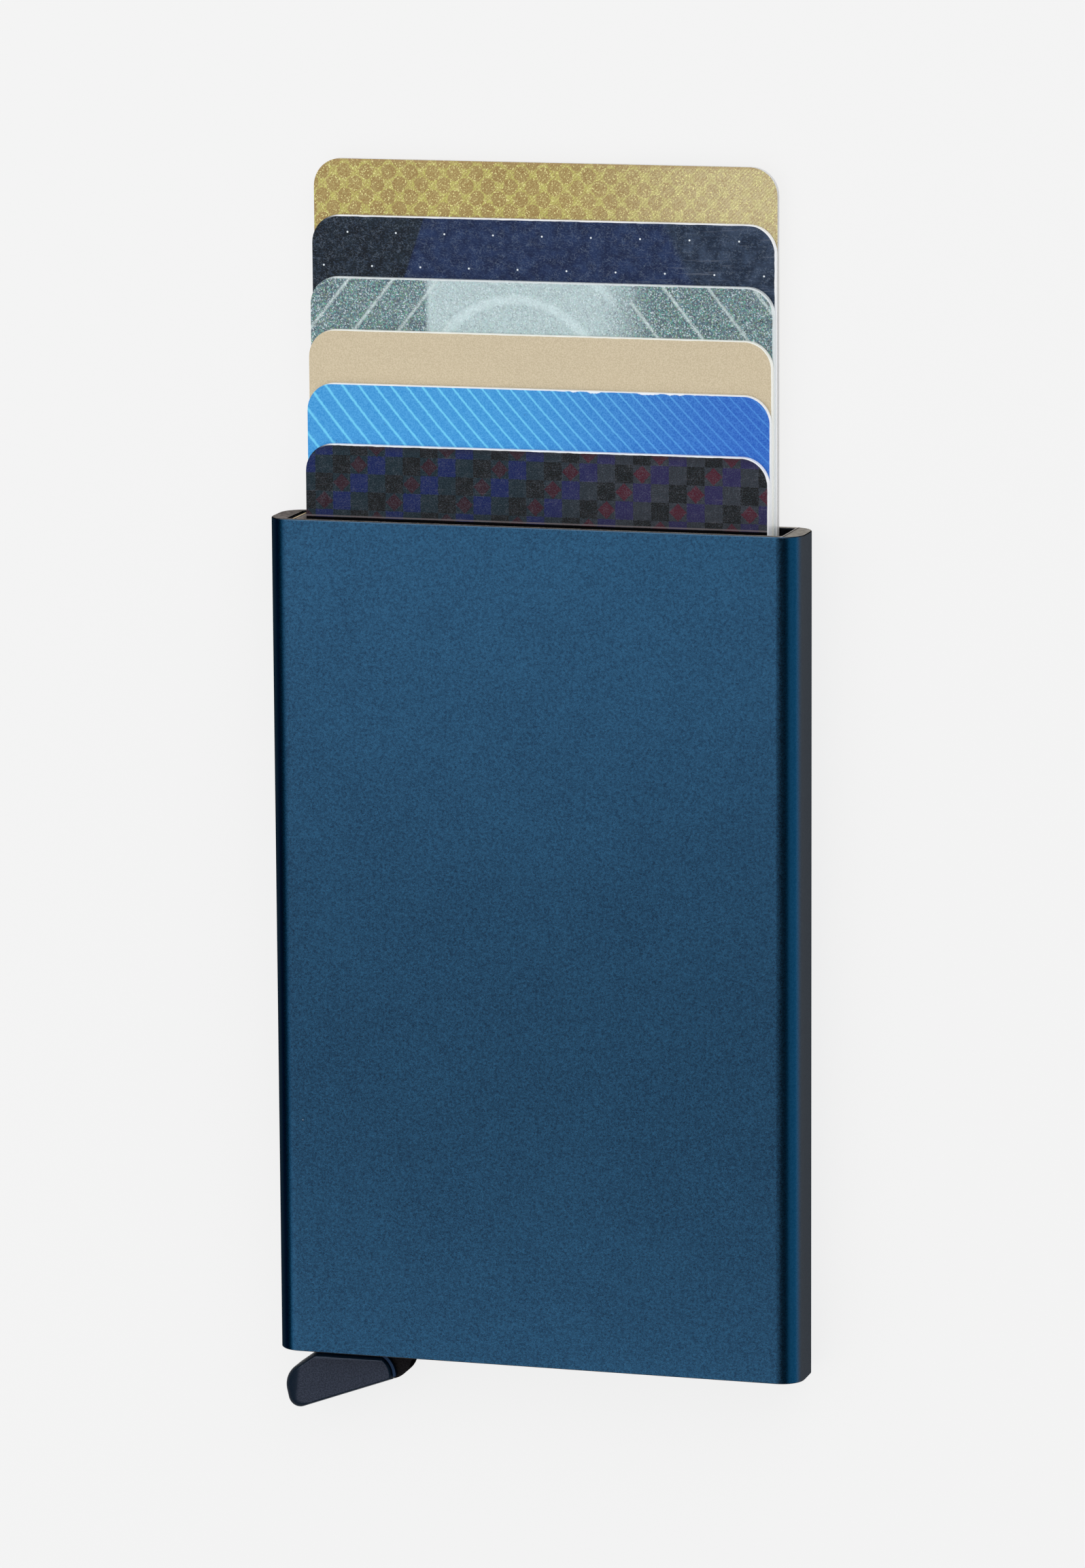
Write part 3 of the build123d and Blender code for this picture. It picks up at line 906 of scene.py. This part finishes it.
def felt_strip(node, name, felt):
    """A felt strip in its CAD solid's place, with soft corners and a slightly uneven nap."""
    low, high = (corner.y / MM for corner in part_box(node))
    low_middle, low_half = strip_end(node, low)
    high_middle, high_half = strip_end(node, high)
    steps = round((high - low) / FELT_STEP)
    build = bmesh.new()
    rings = []
    for index in range(steps + 1):
        share = index / steps
        middle, half = low_middle.lerp(high_middle, share), low_half.lerp(high_half, share)
        shrink = FELT_END_SHRINK if index in (0, steps) else 1
        ring = felt_ring(middle, half, low + (high - low) * share, shrink)
        rings.append([build.verts.new(point * MM) for point in ring])
    for lower, upper in zip(rings, rings[1:]):
        for index in range(FELT_AROUND):
            beside = (index + 1) % FELT_AROUND
            build.faces.new((lower[index], upper[index], upper[beside], lower[beside]))
    build.faces.new(rings[0])
    build.faces.new(reversed(rings[-1]))
    bmesh.ops.recalc_face_normals(build, faces=build.faces)
    mesh = bpy.data.meshes.new(name)
    build.to_mesh(mesh)
    build.free()
    mesh.shade_smooth()
    mesh.materials.append(felt)
    strip = bpy.data.objects.new(name, mesh)
    bpy.context.scene.collection.objects.link(strip)
    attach(strip, "case")
    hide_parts(node)


# Floor, light and camera

BACKGROUND = paint(242, 242, 242)
FLOOR_SIZE = 6
FLOOR_GAP = 0.05
FLOOR_SHADED = 0.1
FLOOR_LIGHT = 0.86


def seen_directly(f):
    """Two masks of rays: from the camera or by way of gloss or glass, and by way of gloss."""
    kinds = ("Is Camera Ray", "Is Glossy Ray", "Is Transmission Ray")
    camera, glossy, through = f.node("ShaderNodeLightPath", out=kinds)
    return camera.over(glossy).over(through), glossy


def pale_floor():
    """Paper in the background's own tone, mostly glowing, so that only a faint shadow shows."""
    bpy.ops.mesh.primitive_plane_add(size=FLOOR_SIZE, location=(0, 0, -FLOOR_GAP * MM))
    floor = bpy.context.object
    floor.name = "floor"
    f = Finish("floor_paper")
    strength = 1 - FLOOR_SHADED * FLOOR_LIGHT
    glow = f.node("ShaderNodeEmission", None, {"Color": BACKGROUND, "Strength": strength})
    share = [FLOOR_SHADED * value for value in BACKGROUND[:3]] + [1]
    shaded = f.node("ShaderNodeBsdfDiffuse", None, {"Color": share})
    paper = f.node("ShaderNodeBsdfDiffuse", None, {"Color": BACKGROUND})
    bright = f.node("ShaderNodeAddShader", None, {0: glow, 1: shaded})
    shader = f.node("ShaderNodeMixShader", None, {0: seen_directly(f)[0], 1: paper, 2: bright})
    floor.data.materials.append(f.close(shader))


AMBIENT = (0.58, 0.58, 0.58, 1)
DIM_ROOM = (0.02, 0.02, 0.02, 1)
SIDE_GLOW = (0.5, 0.5, 0.5, 1)
GLOW_TO_RIGHT = 1.12
GLOW_TO_TOP = 0.6
GLOW_BELOW = 0.1
GLOW_SOFTNESS = 0.2
HORIZON = (-0.01, 0.0)


def pale_world():
    """An even pale room. Gloss shows it dim above, with a low band of light on the right."""
    world = bpy.data.worlds.new("room")
    bpy.context.scene.world = world
    f = Finish("room", world)
    x, y, z = f.split(f.node("ShaderNodeTexCoord", out="Generated"))
    limit = (x.over(0) * GLOW_TO_RIGHT).over(y.over(0) * GLOW_TO_TOP) - GLOW_BELOW
    above = f.mix((z - limit).step(-GLOW_SOFTNESS, GLOW_SOFTNESS), SIDE_GLOW, DIM_ROOM)
    room = f.mix(z.step(*HORIZON), BACKGROUND, above)
    seen, glossy = seen_directly(f)
    colour = f.mix(seen, AMBIENT, f.mix(glossy, BACKGROUND, room))
    shader = f.node("ShaderNodeBackground", None, {"Color": colour, "Strength": 1.0})
    f.close(shader, "ShaderNodeOutputWorld")


def softbox(name, place, aim, width, height, level):
    """A soft lamp that shows this level, where 1 is white, and shines along its aim."""
    data = bpy.data.lights.new(name, "AREA")
    data.shape = "RECTANGLE"
    data.size = width
    data.size_y = height
    data.energy = level * math.pi * width * height
    lamp = bpy.data.objects.new(name, data)
    bpy.context.scene.collection.objects.link(lamp)
    lamp.location = place
    lamp.rotation_mode = "QUATERNION"
    lamp.rotation_quaternion = (-Vector(aim)).to_track_quat("Z", "Y")
    lamp.visible_camera = False


DOWN = (0, 0, -1)
OVERHEAD_PLACE = (-0.39, 0.225, 0.56)
FOOT_PLACE = (-0.37, -0.482, 0.56)
CORNER_PLACE = (0.45, 0.8, 0.4)


def softboxes():
    """Two wide lamps overhead, whose gloss shades the sleeve, and one far to the upper right."""
    softbox("overhead_softbox", OVERHEAD_PLACE, DOWN, width=0.76, height=0.65, level=0.8)
    softbox("foot_softbox", FOOT_PLACE, DOWN, width=0.8, height=0.56, level=0.93)
    towards_middle = -Vector(CORNER_PLACE)
    softbox("corner_softbox", CORNER_PLACE, towards_middle, width=0.9, height=0.9, level=2.2)


CAMERA_PLACE = (225.646 * MM, 167.306 * MM, 778.551 * MM)
CAMERA_RIGHT = (0.960433, -0.005987, -0.278446)
CAMERA_UP = (-0.0448, 0.983428, -0.175674)
CAMERA_LENS = 166.3
SENSOR = 36
NEAR_CLIP = 0.05


def photo_camera():
    """A long lens high above the floor, to the right of the case and past its mouth."""
    data = bpy.data.cameras.new("photo_camera")
    data.sensor_width = SENSOR
    data.lens = CAMERA_LENS
    data.clip_start = NEAR_CLIP
    camera = bpy.data.objects.new("photo_camera", data)
    bpy.context.scene.collection.objects.link(camera)
    right = Vector(CAMERA_RIGHT).normalized()
    back = right.cross(Vector(CAMERA_UP)).normalized()
    up = back.cross(right)
    turn = Matrix((right, up, back)).transposed()
    camera.matrix_world = Matrix.Translation(CAMERA_PLACE) @ turn.to_4x4()
    bpy.context.scene.camera = camera


def main():
    put_on(anodised_sleeve(), "case_sleeve")
    put_on(black_moulding(), "base_housing_rear", "base_housing_front")
    put_on(black_lever(), "lever_arm")
    put_on(navy_pad(), "finger_pad")
    put_on(steel(), "pivot_pin")
    put_on(golden_leaf(), "side_spring")
    felt = brown_felt()
    felt_strip("side_felt_left", "felt_left_nap", felt)
    felt_strip("side_felt_right", "felt_right_nap", felt)
    finish_cards()
    put_on(gold_contacts(), *[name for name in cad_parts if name.startswith("chip_")])
    pale_floor()
    pale_world()
    softboxes()
    photo_camera()
    bpy.context.scene.view_settings.view_transform = "Standard"


main()
